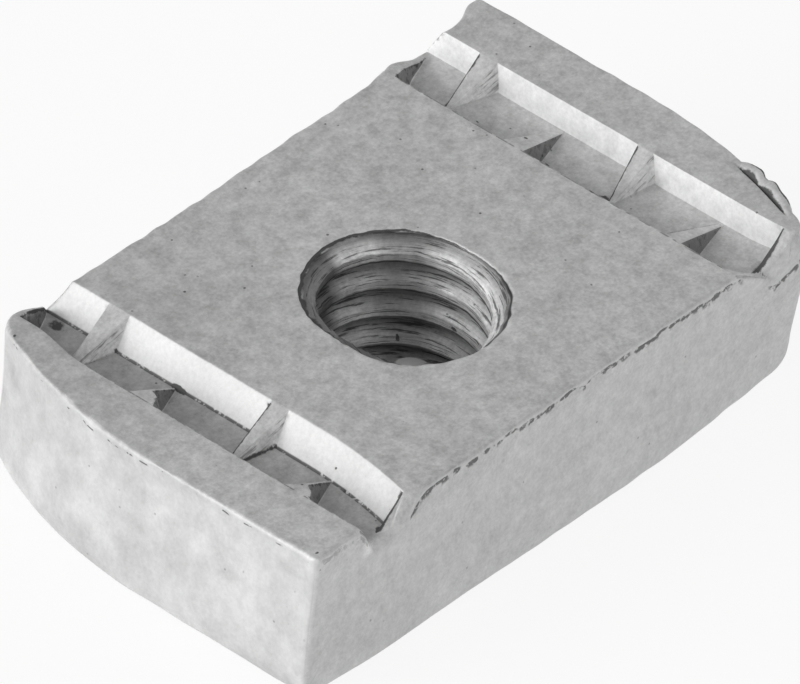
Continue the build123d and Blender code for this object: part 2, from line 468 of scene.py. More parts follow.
class MeshParts:
    """Vertices with their two marks for the shader, and faces, gathered part by part."""

    def __init__(self):
        self.points = np.zeros((0, 3))
        self.marks = np.zeros((0, 2))
        self.faces = []

    def add(self, x, y, z, dirt_line, below_edge=-1.0):
        """Adds vertices and gives their numbers, in the shape of z.

        dirt_line is how dark the painted shade and the blots are there, and below_edge how far the top edge
        is above.
        """
        x, y, z, dirt_line, below_edge = np.broadcast_arrays(x, y, z, dirt_line, below_edge)
        numbers = len(self.points) + np.arange(z.size).reshape(z.shape)
        self.points = np.vstack([self.points, np.stack([x, y, z], -1).reshape(-1, 3)])
        self.marks = np.vstack([self.marks, np.stack([dirt_line, below_edge], -1).reshape(-1, 2)])
        return numbers

    def join(self, rings):
        """Strips of faces from each ring to the next."""
        for a, b in zip(rings[:-1], rings[1:]):
            for k in range(len(a)):
                n = (k + 1) % len(a)
                self.faces.append((a[k], b[k], b[n], a[n]))

    def fill(self, loop, ring, extra, downward):
        """Fills the plan between an outer loop and a ring round the hole, through extra points."""
        numbers = [*loop, *ring, *extra]
        plan = [Vector(self.points[number, :2]) for number in numbers]
        first = len(loop)
        edges = [(k, (k + 1) % first) for k in range(first)]
        edges += [(first + k, first + (k + 1) % len(ring)) for k in range(len(ring))]
        places, _, triangles, sources, _, _ = delaunay_2d_cdt(plan, edges, [], 1, 1e-9)
        if len(places) != len(plan):
            raise RuntimeError("The fill round the hole changed its points")
        ring_points = self.points[ring]
        for triangle in triangles:
            centre = sum((places[k] for k in triangle), Vector((0, 0))) / len(triangle)
            if outside_ring(centre, ring_points):
                face = tuple(numbers[sources[k][0]] for k in triangle)
                self.faces.append(face[::-1] if downward else face)


def outside_ring(place, ring):
    """Whether a place in plan lies outside a ring of points that goes evenly round the hole."""
    turn = math.atan2(place.y - HOLE_Y, place.x - HOLE_X) / (2 * math.pi) * len(ring)
    k = int(math.floor(turn)) % len(ring)
    a, b = ring[k], ring[(k + 1) % len(ring)]
    return (b[0] - a[0]) * (place.y - a[1]) < (b[1] - a[1]) * (place.x - a[0])


def top_rows(block):
    """The grid's rows on the plain land: close together at the sides and between the creases."""
    half = block.width / 2
    plain, _ = block.row_y(np.array([0.0]), 0.0)
    rows = [*(room - half for room in ROW_EDGES), plain[0]]
    for k, steps in enumerate(ROW_STEPS[:len(plain) - 1]):
        rows += list(np.linspace(plain[k], plain[k + 1], steps + 1)[1:])
    rows += list(np.linspace(plain[-1], half - 0.09, 4)[1:])
    return np.array(rows + [half - 0.05, half - 0.025, half - 0.01, half])


def top_columns():
    """The grid's columns between the outer edges of the grooves, close together at each crease."""
    groove = runs(-OUTER_EDGE, (-OUTER_EDGE + 0.03, 1), (-OUTER_FOOT - 0.04, 4), (-OUTER_FOOT + 0.04, 2),
                  (-OUTER_FOOT + 0.2, 1), (-INNER_FOOT - 0.2, 20), (-INNER_FOOT - 0.05, 1),
                  (-INNER_FOOT + 0.05, 2), (-INNER_EDGE - 0.07, 9), (-INNER_EDGE + 0.05, 3))
    middle = runs(-INNER_EDGE + 0.05, (-INNER_EDGE + 0.15, 1), (-INNER_EDGE + 0.35, 1),
                  (INNER_EDGE - 0.35, 84), (INNER_EDGE - 0.15, 1), (INNER_EDGE - 0.05, 1))
    return np.array([*groove, *middle[1:], *-groove[::-1][1:]])


def real_columns(block, columns, y):
    """X of the columns along one row, where the edges of the grooves have left their straight lines."""
    first = np.maximum(-OUTER_EDGE + block.outer_shift(-1, y), block.x_low(y) + LAND_LEAST)
    last = np.minimum(OUTER_EDGE - block.outer_shift(1, y), block.x_high(y) - LAND_LEAST)
    floor_width = OUTER_EDGE - INNER_FOOT
    from_near = (columns + OUTER_EDGE) / floor_width
    from_far = (OUTER_EDGE - columns) / floor_width
    x = np.where(columns < -INNER_FOOT, first + from_near * (-INNER_FOOT - first), columns)
    x = np.where(columns > INNER_FOOT, last - from_far * (last - INNER_FOOT), x)
    pull = np.interp(np.abs(columns), [8.0, INNER_EDGE, INNER_FOOT], [0.0, 1.0, 0.0])
    return x + np.where(columns < 0, block.edge_shift(-1, y), block.edge_shift(1, y)) * pull


def add_top(block, parts):
    """The top side: a grid whose lines follow the creases, with a rectangle left out for the hole.

    Gives the rectangle's edge, the grid's points inside it, the block's border, and where in plan
    the border would run if no metal had been pushed out.
    """
    half = block.width / 2
    rows, columns = top_rows(block), top_columns()
    ys = np.array([block.row_y(rows, x)[1] for x in columns]).T
    xs = real_columns(block, np.broadcast_to(columns, ys.shape), ys)

    # Outer lands: from the outline to the outer edge of the groove
    left_y, right_y = ys[:, :1], ys[:, -1:]
    low, high = block.x_low(left_y), block.x_high(right_y)
    inward = np.linspace(0, 1, 9)[None, :-1]
    close = np.array(EDGE_STEPS)[None, :]
    near_x = np.hstack([low + close, low + EDGE_ROOM + (xs[:, :1] - low - EDGE_ROOM) * inward])
    far_x = np.hstack([high - close, high - EDGE_ROOM + (xs[:, -1:] - high + EDGE_ROOM) * inward])
    xs = np.hstack([near_x, xs, far_x[:, ::-1]])
    ys = np.hstack([np.repeat(left_y, near_x.shape[1], 1), ys, np.repeat(right_y, far_x.shape[1], 1)])
    zs = block.height(xs, ys)
    shade_and_dirt = block.shade_and_dirt(xs, ys)

    # Metal pushed out at the sides, and the flake
    straight = np.stack([xs, ys], -1)
    for side in (1, -1):
        drawn = ease((side * ys - half + BURR_ROOM) / BURR_ROOM)
        ys = ys + side * block.side_out(xs, zs, side) * drawn
    from_arc = high - xs
    along_arc = straight[:, :, 1]
    flake = block.flake(along_arc)
    # Painted shade in the crack beside the flake and along the arc's edge under it
    crack_width = 0.06 + 0.03 * np.exp(-((along_arc + 5.8) / 0.5) ** 2)
    shade_and_dirt = np.maximum(shade_and_dirt, 1.8 * flake * np.exp(-((from_arc - CRACK_IN) / crack_width) ** 2))
    shade_and_dirt = np.maximum(shade_and_dirt, 1.3 * flake * np.exp(-((from_arc - 0.06) / 0.07) ** 2))
    xs = xs + FLAKE_OUT * flake * ease((CRACK_IN - from_arc) / 0.14)
    index = parts.add(xs, ys, zs, shade_and_dirt)

    # Rectangle for the hole
    row_count, column_count = xs.shape
    middle_row = xs[row_count // 2]
    i0 = int(np.searchsorted(middle_row, HOLE_X - HOLE_ROOM)) - 1
    i1 = int(np.searchsorted(middle_row, HOLE_X + HOLE_ROOM))
    middle_column = ys[:, (i0 + i1) // 2]
    j0 = int(np.searchsorted(middle_column, HOLE_Y - HOLE_ROOM)) - 1
    j1 = int(np.searchsorted(middle_column, HOLE_Y + HOLE_ROOM))
    for j in range(row_count - 1):
        for i in range(column_count - 1):
            if not (i0 <= i < i1 and j0 <= j < j1):
                parts.faces.append((index[j, i], index[j, i + 1], index[j + 1, i + 1], index[j + 1, i]))

    loop = [*index[j0, i0:i1], *index[j0:j1, i1], *index[j1, i1:i0:-1], *index[j1:j0:-1, i0]]
    inner = index[j0 + 1:j1, i0 + 1:i1].reshape(-1)
    border = [*index[0, :-1], *index[:-1, -1], *index[-1, :0:-1], *index[:0:-1, 0]]
    return loop, inner, border, straight.reshape(-1, 2)[border]


def add_rim(block, parts, loop, inner):
    """The land round the hole, as rings, and the fill between the last ring and the grid."""
    angles = np.arange(RIM_STEPS) * 2 * math.pi / RIM_STEPS
    rim = block.rim(angles)
    rings = []
    for out in (*RING_GAPS, LAST_RING_GAP):
        radius = rim + out if out < LAST_RING_GAP else np.maximum(rim + out, LAST_RING_LEAST)
        x = HOLE_X + radius * np.cos(angles)
        y = HOLE_Y + radius * np.sin(angles)
        # A line of painted shade along the rim's edge
        dark = round_profile(RIM_SHADE_LINE, angles) * np.exp(-(out / 0.035) ** 2)
        rings.append(parts.add(x, y, block.height(x, y), dark))
    parts.join(rings)

    reach = np.hypot(*(parts.points[rings[-1], :2] - (HOLE_X, HOLE_Y)).T)
    between = []
    for number in inner:
        dx, dy = parts.points[number, 0] - HOLE_X, parts.points[number, 1] - HOLE_Y
        k = int(round(math.atan2(dy, dx) / (2 * math.pi) * RIM_STEPS)) % RIM_STEPS
        if math.hypot(dx, dy) > reach[k] + 0.12:
            between.append(number)
    parts.fill(loop, rings[-1], between, downward=False)
    return rings[0]


def add_thread(block, parts, rim_ring):
    """The threaded bore: a grid sheared along the helix, cut off at the two rims."""
    angles = np.arange(RIM_STEPS + 1) * 2 * math.pi / RIM_STEPS
    rim_points = parts.points[np.append(rim_ring, rim_ring[0])]
    top = rim_points[:, 2]
    rim = np.hypot(rim_points[:, 0] - HOLE_X, rim_points[:, 1] - HOLE_Y)
    foot_rim = block.major + FOOT_RIM_OUT

    # Lines along the helix, from a turn below the bottom to a little above the top
    step = block.pitch / TURN_STEPS
    first = -2 * block.pitch + THREAD_START
    lines = int(math.ceil((block.top + 0.5 - first) / step)) + 1
    line_start = first + step * np.arange(lines)
    height = line_start[:, None] + block.pitch * angles[None, :] / (2 * math.pi)
    z = np.clip(height, 0.0, top[None, :])

    # Radius: the turns with their torn crests, and the openings at the two rims
    phase = np.mod(line_start - THREAD_START, block.pitch)
    rise = (block.pitch - THREAD_CREST - THREAD_ROOT) / 2
    root_low = THREAD_CREST + rise
    stops = [0, THREAD_CREST, root_low, root_low + THREAD_ROOT, block.pitch]
    profile = np.interp(phase, stops, [0, 0, 1, 1, 0])[:, None]
    x0, y0 = np.cos(angles)[None, :] * 4.4, np.sin(angles)[None, :] * 4.4
    tear = waves(x0, y0, height, 0.5, 31) * 0.5 + waves(x0 * 0.4, y0 * 0.4, height * 3, 0.8, 32) * 0.5
    radius = block.minor + (block.major - block.minor) * profile + TEAR_DEEP * tear * (1 - profile)
    cone = rim[None, :] - round_profile(RIM_CONES, angles)[None, :] * (top[None, :] - z)
    radius = np.maximum(radius, np.maximum(cone, foot_rim - FOOT_RIM_SLOPE * z))
    radius = np.where(height >= top[None, :], rim[None, :], radius)
    radius = np.where(height <= 0.0, foot_rim, radius)
    x = HOLE_X + radius * np.cos(angles)[None, :]
    y = HOLE_Y + radius * np.sin(angles)[None, :]

    # Painted shade under the rim, and dark marks at the nicks
    from_rim = np.hypot(rim[None, :] - radius, top[None, :] - z)
    dark = round_profile(RIM_SHADE_LINE, angles)[None, :] * np.exp(-(from_rim / 0.14) ** 2)
    turned = np.mod(np.degrees(angles)[None, :] + 180, 360) - 180
    for nick_angle, nick_z, half_angle, half_z in NICKS:
        off = np.hypot((turned - nick_angle) / half_angle, (z - nick_z) / half_z)
        dark = np.maximum(dark, 1.5 * np.exp(-off ** 4))

    # After a full circle, each line goes on as the one a turn above it
    index = np.zeros(height.shape, dtype=int)
    index[:, :-1] = parts.add(x[:, :-1], y[:, :-1], z[:, :-1], dark[:, :-1])
    index[:, -1] = index[np.minimum(np.arange(lines) + TURN_STEPS, lines - 1), 0]
    for j in range(lines - 1):
        for i in range(RIM_STEPS):
            above = height[j, i] >= top[i] and height[j, i + 1] >= top[i + 1]
            below = height[j + 1, i] <= 0.0 and height[j + 1, i + 1] <= 0.0
            if not (above or below):
                parts.faces.append((index[j, i], index[j + 1, i], index[j + 1, i + 1], index[j, i + 1]))
    return foot_rim


def wall_place(block, straight, pushed, edge_z, z):
    """X and Y of the walls at height z, below each point of the border."""
    half_l, half_w = block.length / 2, block.width / 2
    x, y = straight[:, 0], straight[:, 1]
    swell_top = block.top - 1.2
    swell = ease((swell_top - z) / (swell_top - END_FOOT))
    near_bulge = NEAR_BULGE * np.interp(y, [-half_w, -7, 0, 5, half_w], [1.0, 1.0, 0.95, 0.9, 0.5])
    inset_x = round_over(z, END_FOOT) - np.where(x < 0, near_bulge, FAR_BULGE) * swell
    bow = np.where(y < 0, NEAR_SIDE_BOW, FAR_SIDE_BOW)
    tilt = np.where(y < 0, NEAR_SIDE_TILT * (ease((-6 - x) / 8) - ease((x - 6) / 8)), 0)
    bow = (bow * np.clip(1 - (x / 16.5) ** 2, 0, 1) + tilt) * ease((6.5 - z) / 5.0)
    inset_y = round_over(z, SIDE_FOOT) - bow
    x = x * (1 - inset_x / half_l) + pushed[:, 0] * ease((z - edge_z + 0.9) / 0.8)
    y = y * (1 - inset_y / half_w) + pushed[:, 1] * ease((z - BURR_LOW) / (BURR_HIGH - BURR_LOW))
    rough = waves(x, y, z, 2.4, 41) * 0.02 * swell
    return x * (1 + rough / half_l), y * (1 + rough / half_w)


def add_sides(block, parts, border, straight):
    """The walls, from the edge of the top side down and round the foot."""
    edge = parts.points[border]
    edge_z = edge[:, 2]
    pushed = edge[:, :2] - straight
    foot_heights = END_FOOT * (1 - np.sin(np.linspace(0, math.pi / 2, 13)))
    heights = [edge_z - down for down in (0.05, 0.12, 0.2, 0.3, 0.45)]
    upper = heights[-1]
    heights += [upper + (foot_heights[0] - upper) * share for share in np.linspace(0, 1, 12)[1:]]
    heights += [np.full(len(border), level) for level in foot_heights[1:]]

    worn = np.where((edge_z < block.top - 1.1) & (edge[:, 0] < 0), -1.0, 0.0)
    rings = [np.array(border)]
    for z in heights:
        x, y = wall_place(block, straight, pushed, edge_z, z)
        rings.append(parts.add(x, y, z, worn, edge_z - z))
    parts.join(rings)
    return rings[-1]


def add_bottom(parts, loop, foot_rim):
    """The flat underside, between the foot and the lower rim of the hole."""
    angles = np.arange(RIM_STEPS) * 2 * math.pi / RIM_STEPS
    x, y = HOLE_X + foot_rim * np.cos(angles), HOLE_Y + foot_rim * np.sin(angles)
    ring = parts.add(x, y, 0 * angles, 0.0, 9.0)
    parts.fill(loop, ring, [], downward=True)


def make_nut_mesh(sizes):
    block = Block(sizes)
    parts = MeshParts()
    loop, inner, border, straight = add_top(block, parts)
    rim_ring = add_rim(block, parts, loop, inner)
    foot_rim = add_thread(block, parts, rim_ring)
    foot_loop = add_sides(block, parts, border, straight)
    add_bottom(parts, foot_loop, foot_rim)

    points = parts.points
    for place, radius, push in LUMPS:
        near = np.exp(-np.sum((points - np.array(place)) ** 2, 1) / radius ** 2)
        points = points + near[:, None] * np.array(push)
    mesh = bpy.data.meshes.new("nut_body")
    faces = [tuple(int(number) for number in face) for face in parts.faces]
    mesh.from_pydata((points * MM).tolist(), [], faces)
    for column, name in enumerate(("dirt_line", "below_edge")):
        layer = mesh.attributes.new(name, "FLOAT", "POINT")
        layer.data.foreach_set("value", parts.marks[:, column].astype(np.float32))
    body = bpy.data.objects.new("nut_body", mesh)
    bpy.context.scene.collection.objects.link(body)

    # The parts meet at the rims, where their points are one
    work = bmesh.new()
    work.from_mesh(mesh)
    bmesh.ops.remove_doubles(work, verts=work.verts, dist=WELD_DISTANCE)
    loose = [vert for vert in work.verts if not vert.link_faces]
    bmesh.ops.delete(work, geom=loose, context="VERTS")
    for face in work.faces:
        face.smooth = True
    work.to_mesh(mesh)
    work.free()
    mesh.set_sharp_from_angle(angle=math.radians(SHARP_ANGLE))
    return body


# Shader tools

class Value:
    """A number in a shader: arithmetic on it adds the Math nodes."""

    def __init__(self, shader, socket):
        self.shader = shader
        self.socket = socket

    def math(self, operation, *others):
        sockets = {0: self.socket}
        for place, other in enumerate(others, start=1):
            sockets[place] = other
        return self.shader.value("ShaderNodeMath", {"operation": operation}, sockets)

    def __add__(self, other):
        return self.math("ADD", other)

    def __radd__(self, other):
        return self.math("ADD", other)

    def __sub__(self, other):
        return self.math("SUBTRACT", other)

    def __rsub__(self, other):
        return self.shader.value("ShaderNodeMath", {"operation": "SUBTRACT"}, {0: other, 1: self.socket})

    def __mul__(self, other):
        return self.math("MULTIPLY", other)

    def __rmul__(self, other):
        return self.math("MULTIPLY", other)

    def __truediv__(self, other):
        return self.math("DIVIDE", other)

    def __pow__(self, other):
        return self.math("POWER", other)

    def __abs__(self):
        return self.math("ABSOLUTE")

    def at_least(self, other):
        return self.math("MAXIMUM", other)

    def at_most(self, other):
        return self.math("MINIMUM", other)

    def ramp(self, low, high):
        """0 below low, 1 above high, smooth between."""
        return self.shader.value("ShaderNodeMapRange", {"interpolation_type": "SMOOTHSTEP", "clamp": True},
                                 {"Value": self.socket, "From Min": low, "From Max": high})

    def falls(self, low, high):
        """1 below low, 0 above high, smooth between."""
        return 1.0 - self.ramp(low, high)

    def band(self, low, high, soft):
        """1 between low and high, 0 outside, smooth at both."""
        return self.ramp(low - soft, low + soft) * self.falls(high - soft, high + soft)


class Shader:
    """A material's nodes."""

    def __init__(self, name):
        self.material = bpy.data.materials.new(name)
        self.material.use_nodes = True
        self.nodes = self.material.node_tree.nodes
        self.links = self.material.node_tree.links
        self.nodes.clear()

    def node(self, kind, settings=None, sockets=None):
        node = self.nodes.new(kind)
        for name, setting in (settings or {}).items():
            setattr(node, name, setting)
        for key, given in (sockets or {}).items():
            socket = given.socket if isinstance(given, Value) else given
            if isinstance(socket, bpy.types.NodeSocket):
                self.links.new(socket, node.inputs[key])
            else:
                node.inputs[key].default_value = socket
        return node

    def value(self, kind, settings=None, sockets=None, output=0):
        return Value(self, self.node(kind, settings, sockets).outputs[output])

    def parts(self, vector):
        node = self.node("ShaderNodeSeparateXYZ", {}, {"Vector": vector})
        return [Value(self, node.outputs[axis]) for axis in "XYZ"]

    def attribute(self, name):
        return Value(self, self.node("ShaderNodeAttribute", {"attribute_name": name}).outputs["Fac"])

    def noise(self, vector, scale, detail=4.0, rough=0.55):
        return self.value("ShaderNodeTexNoise", {}, {
            "Vector": vector, "Scale": scale, "Detail": detail, "Roughness": rough})

    def vector(self, x, y, z):
        return self.node("ShaderNodeCombineXYZ", {}, {"X": x, "Y": y, "Z": z}).outputs["Vector"]

    def mix(self, factor, a, b):
        """Colour a at factor 0 and b at factor 1. A colour Mix node has these at sockets 0, 6 and 7."""
        return self.node("ShaderNodeMix", {"data_type": "RGBA"}, {0: factor, 6: a, 7: b}).outputs[2]

    def end(self, surface):
        """Links the surface to the material's output."""
        output = self.node("ShaderNodeOutputMaterial")
        self.links.new(surface, output.inputs["Surface"])
        return self.material


def grey(level):
    return (level, level, level, 1.0)


# Steel and floor

LIGHTEST = 1.6             # the lightest tone, as a share of the coat's colour

# Where the looks change, each from one place to another: the grooves' two ends, the near groove's
# worn end, and the bore's radius and top
GROOVES_START_Y, GROOVES_END_Y = (-10.6, -10.45), (11.8, 12.0)
WORN_END_X = (-14.4, -12.6)
BORE_WALL, BORE_TOP = (4.93, 5.0), (8.1, 8.16)
# Round the bore, in degrees: the middle and half width of a strip of painted shade, and where the
# bore's side of painted shade begins and ends
STRIP_ANGLE, STRIP_HALF = 40.0, 28.0
SHADED_SIDE_START, SHADED_SIDE_END = (82.0, 96.0), (-160.0, -140.0)
CREST_COS, CREST_SIN = 0.937, 0.348    # slant of the rising teeth, which their streaks follow
# The dark line under the long side's edge is painted shade
EDGE_LINE_DOWN = 0.16      # how far the dark line lies below the long side's edge
# Where that line is heavy: from X to X, how soft there, and how heavy
HEAVY_LINES = [(-12.3, -9.2, 0.4, 1.0), (13.6, 15.6, 0.4, 1.0), (3.0, 11.0, 2.0, 0.3)]


class NutSurface:
    """Where a point of the nut lies, in millimetres, which way it faces and what part it is on."""

    def __init__(self, shader):
        self.place = shader.node("ShaderNodeTexCoord").outputs["Object"]
        facing = shader.node("ShaderNodeNewGeometry").outputs["True Normal"]
        x, y, z = self.x, self.y, self.z = [part * (1 / MM) for part in shader.parts(self.place)]
        facing_x, facing_y, facing_z = self.facing = shader.parts(facing)
        self.dirt_line = shader.attribute("dirt_line")
        self.below_edge = shader.attribute("below_edge")
        self.along = abs(x)
        self.far_half = x.ramp(-0.5, 0.5)
        near_half = 1.0 - self.far_half

        in_groove = self.along.band(INNER_EDGE - 0.05, OUTER_EDGE + 0.05, 0.05)
        in_groove = in_groove * y.ramp(*GROOVES_START_Y) * y.falls(*GROOVES_END_Y)
        self.in_groove = in_groove * z.ramp(GROOVE_FLOOR - 0.25, GROOVE_FLOOR - 0.15)
        above_floor = z.ramp(GROOVE_FLOOR + 0.04, GROOVE_FLOOR + 0.1)
        flank = (0.0 - facing_y).ramp(0.5, 0.7) * self.in_groove * above_floor
        self.falling_flank = flank * facing_x.ramp(0.0, 0.1)
        self.rising_flank = flank * facing_x.falls(-0.1, 0.0) * y.ramp(-9.8, -9.6)
        on_floor = z.falls(GROOVE_FLOOR + 0.06, GROOVE_FLOOR + 0.15) * facing_z.ramp(0.9, 0.97)
        self.groove_floor = self.in_groove * on_floor
        self.steep_wall = self.in_groove * self.far_half * facing_x.falls(-0.9, -0.75)
        self.near_wall = self.in_groove * near_half * facing_x.falls(-0.75, -0.6)
        self.worn_end = x.band(*WORN_END_X, 0.3) * y.falls(-10.35, -10.05) * z.band(6.5, 7.2, 0.2)
        self.end_face = facing_x.falls(-0.85, -0.5) * x.falls(-14.95, -14.85)
        self.side_face = abs(facing_y).ramp(0.5, 0.85) * abs(y).ramp(9.2, 9.6)
        self.side_face = self.side_face * (1.0 - self.in_groove * above_floor)
        # Where the land is painted darker as shade, towards the near end's +Y side
        self.shaded_corner = x.falls(-10.0, -2.0) * y.ramp(-2.0, 6.0) * facing_z.ramp(0.95, 0.99)


def coat_tone(shader, nut, mottle, grain):
    """Lightness of the zinc coat: its grain and blotches, and the painted light and shade by which the parts
    of the nut differ.
    """
    broad = shader.noise(nut.place, 260.0, 3.0)
    blotch = shader.noise(nut.place, 520.0, 3.0, 0.5)
    busy = 1.0 - nut.end_face * 0.58 - nut.side_face * 0.35 - (nut.near_wall + nut.steep_wall) * 0.5
    tone = 1.0 + (broad - 0.5) * 0.22 + busy * ((mottle - 0.5) * 0.8 + (grain - 0.5) * 0.5)
    # Painted light and shade: the land darker towards the near end's +Y side, the end face a little darker,
    # the side faces, the far groove's steep walls and the near groove's worn end lighter, and the groove
    # floors and the falling flanks darker
    tone = tone * (1.0 - nut.shaded_corner * 0.1)
    tone = tone + nut.end_face * ((blotch - 0.5) * 0.5 - 0.03)
    tone = tone * (1.0 + nut.side_face * 0.1)
    tone = tone * (1.0 - nut.groove_floor * (0.2 - nut.far_half * 0.14))
    tone = tone * (1.0 + nut.steep_wall * 0.45)
    tone = tone * (1.0 - nut.falling_flank * 0.64)
    tone = tone * (1.0 + nut.worn_end * 0.3)

    # Streaks down the flanks of the rising teeth, left by the punch, on flanks painted lighter as lit faces
    across = nut.z * CREST_COS - nut.x * CREST_SIN
    down = nut.x * CREST_COS + nut.z * CREST_SIN
    streak = shader.noise(shader.vector(across * 7.0, nut.y * 3.0, down * 0.7), 1.0, 3.0, 0.6)
    return tone * (1.0 + nut.rising_flank * (0.3 - streak.falls(0.32, 0.5) * 0.75))


def thread_tone(shader, nut):
    """Where the bore is, and its lightness: torn turns, painted shade under their lips and on the bore's dark
    side, and one painted highlight.
    """
    from_x, from_y = nut.x - HOLE_X, nut.y - HOLE_Y
    from_axis = (from_x * from_x + from_y * from_y) ** 0.5
    in_bore = from_axis.falls(*BORE_WALL) * nut.z.falls(*BORE_TOP)
    turn = from_y.math("ARCTAN2", from_x) * (1 / (2 * math.pi))
    climb = nut.z - turn * THREAD_PITCH
    phase = (climb - THREAD_START + 20 * THREAD_PITCH).math("MODULO", THREAD_PITCH)
    torn_place = shader.vector(from_x / from_axis * 2.0, from_y / from_axis * 2.0, climb * 15.0)
    torn = shader.noise(torn_place, 1.0, 4.0, 0.65)

    # Each turn's flank: painted shade just under the crest above it, lighter lower down
    above = phase.band(THREAD_CREST, THREAD_PITCH, 0.05)
    tone = 0.95 + above * (0.35 - phase.ramp(0.6, 1.0) * 0.85)
    angle = turn * 360.0
    # Painted shade on a strip and on the side of the bore turned away from the lights
    shade_strip = (abs(angle - STRIP_ANGLE) / STRIP_HALF).falls(0.2, 1.0)
    shaded_side = angle.ramp(*SHADED_SIDE_START) + angle.falls(*SHADED_SIDE_END)
    tone = tone * (1.0 - (shade_strip * 0.5 + shaded_side * 0.74))
    tone = tone * (1.0 - torn.falls(0.39, 0.46) * 0.7) * (1.0 + (torn - 0.5) * 1.1)
    # Painted highlight on the lowest turn in sight
    glint = ((angle - GLINT_ANGLE) / 11.0) ** 2.0 + ((nut.z - GLINT_Z) / 0.14) ** 2.0
    tone = tone + glint.falls(0.0, 1.0) * 4.0
    # Painted shade: a dark line at each crest's lower edge
    lip_shadow = phase.falls(0.06, 0.16) + phase.ramp(THREAD_PITCH - 0.3, THREAD_PITCH - 0.1)
    tone = tone * (1.0 - lip_shadow.at_most(1.0) * 0.85 * torn.ramp(0.25, 0.4))
    return in_bore, tone


def edge_shade(nut, broken, ragged, wander):
    """Broken line of painted shade just under the top edge of the long side, and dark dots along the near
    end's edge.
    """
    heavy = sum(nut.x.band(low, high, soft) * share for low, high, soft, share in HEAVY_LINES)
    thick = broken.ramp(0.42, 0.6) * 0.2 + 0.06 + heavy * 0.08
    line = (abs(nut.below_edge - EDGE_LINE_DOWN - (wander - 0.5) * 0.3) / thick).falls(0.4, 1.2)
    line = line * nut.below_edge.ramp(0.0, 0.03) * nut.facing[1].falls(-0.7, -0.3)
    line = line * nut.along.falls(17.2, 17.5)
    line = line * (broken + heavy * 0.08).ramp(0.38, 0.46) * ragged.ramp(0.36, 0.5)
    line = line * nut.dirt_line.ramp(-0.6, -0.1)
    line = line * (1.0 - nut.x.band(11.0, 12.9, 0.2)) * (1.0 - nut.x.falls(-13.2, -12.8) * 0.6)
    dots = nut.below_edge.band(0.0, 0.12, 0.04) * nut.facing[0].falls(-0.7, -0.3) * broken.ramp(0.56, 0.62)
    return line * 0.85 + dots


def groove_shade(nut, broken, ragged):
    """Lines of painted shade along the foot of the near groove's inner wall and the edges of the lands."""
    most, start, length = NEAR_INNER_BACK
    drawn_back = ((nut.y - start) / -length).at_least(0.0).at_most(1.0) ** 2.0 * most
    foot = (abs(nut.x + INNER_FOOT + drawn_back) / 0.09).falls(0.4, 1.0)
    foot = foot * (1.0 - nut.far_half) * nut.z.falls(GROOVE_FLOOR + 0.14, GROOVE_FLOOR + 0.22)
    foot = foot * nut.in_groove * ragged.ramp(0.32, 0.46) * nut.y.ramp(-10.1, -10.0)
    far_land = (abs(nut.x - INNER_EDGE + 0.03) / 0.06).falls(0.4, 1.0)
    near_land = (abs(nut.x + OUTER_EDGE) / 0.05).falls(0.4, 1.0) * nut.y.falls(6.0, 6.4)
    on_edge = abs(nut.y).falls(9.6, 10.0) * nut.z.ramp(7.9, 8.0) * broken.ramp(0.42, 0.52)
    return foot * 0.9 + (far_land + near_land) * on_edge * 0.6


def steel_material(finish):
    """Dull zinc on coined and sheared steel, with painted shade in its creases and along its edges, and a
    torn thread with painted shade and a painted highlight.
    """
    shader = Shader("zinc_coated_steel")
    nut = NutSurface(shader)
    mottle = shader.noise(nut.place, 1300.0, 4.0, 0.6)
    grain = shader.noise(nut.place, 5200.0, 3.0, 0.7)
    tone = coat_tone(shader, nut, mottle, grain)
    in_bore, bore_tone = thread_tone(shader, nut)
    tone = tone * (1.0 - in_bore + in_bore * bore_tone)

    # Specks and pits, one at most to a cell
    cells = shader.value("ShaderNodeTexVoronoi", {"feature": "F1"}, {
        "Vector": nut.place, "Scale": 1300.0, "Randomness": 1.0})
    choice = shader.noise(nut.place, 700.0, 2.0, 0.5)
    specks = cells.falls(0.05, 0.11) * choice.ramp(0.54, 0.6)
    pits = cells.falls(0.1, 0.24) * choice.falls(0.34, 0.42)

    # Painted shade along creases and edges, with the dark blots, specks and pits
    ragged = shader.noise(nut.place, 3300.0, 3.0, 0.6)
    broken = shader.noise(nut.place, 1700.0, 2.0, 0.5)
    wander = shader.noise(nut.place, 900.0, 2.0, 0.5)
    lines = (nut.dirt_line + (ragged - 0.5) * 1.1).ramp(0.35, 0.75) * nut.dirt_line.ramp(0.02, 0.12)
    # Ragged painted shade on the falling flanks
    falling_flank_shade = nut.falling_flank * ragged.ramp(0.5, 0.62) * 0.5
    shade_and_dirt = lines + falling_flank_shade + edge_shade(nut, broken, ragged, wander) + groove_shade(nut, broken, ragged)
    shade_and_dirt = shade_and_dirt + specks * (0.9 - (nut.end_face + nut.side_face) * 0.5) + pits * 0.12
    shade_and_dirt = shade_and_dirt.at_most(1.0)

    # The tone goes up to LIGHTEST times the coat's colour
    full = tuple(min(c * LIGHTEST, 1.0) for c in finish.steel_colour) + (1.0,)
    colour = shader.mix((tone / LIGHTEST).at_most(1.0), grey(0.0), full)
    # Painted shade, blots, specks and pits all take the speck colour
    colour = shader.mix(shade_and_dirt * 0.92, colour, tuple(finish.speck_and_shade_colour) + (1.0,))
    roughness = 0.55 + (mottle - 0.5) * 0.2 - nut.near_wall * 0.06 - nut.groove_floor * 0.08 + shade_and_dirt * 0.2
    relief = mottle * 0.5 + grain * 0.5 - specks * 0.8 - pits * 0.4
    bump = shader.node("ShaderNodeBump", {}, {"Strength": 0.5, "Distance": 0.03 * MM, "Height": relief})
    surface = shader.node("ShaderNodeBsdfPrincipled", {}, {
        "Base Color": colour, "Roughness": roughness, "Metallic": finish.metal_share,
        "Normal": bump.outputs["Normal"]})
    return shader.end(surface.outputs["BSDF"])


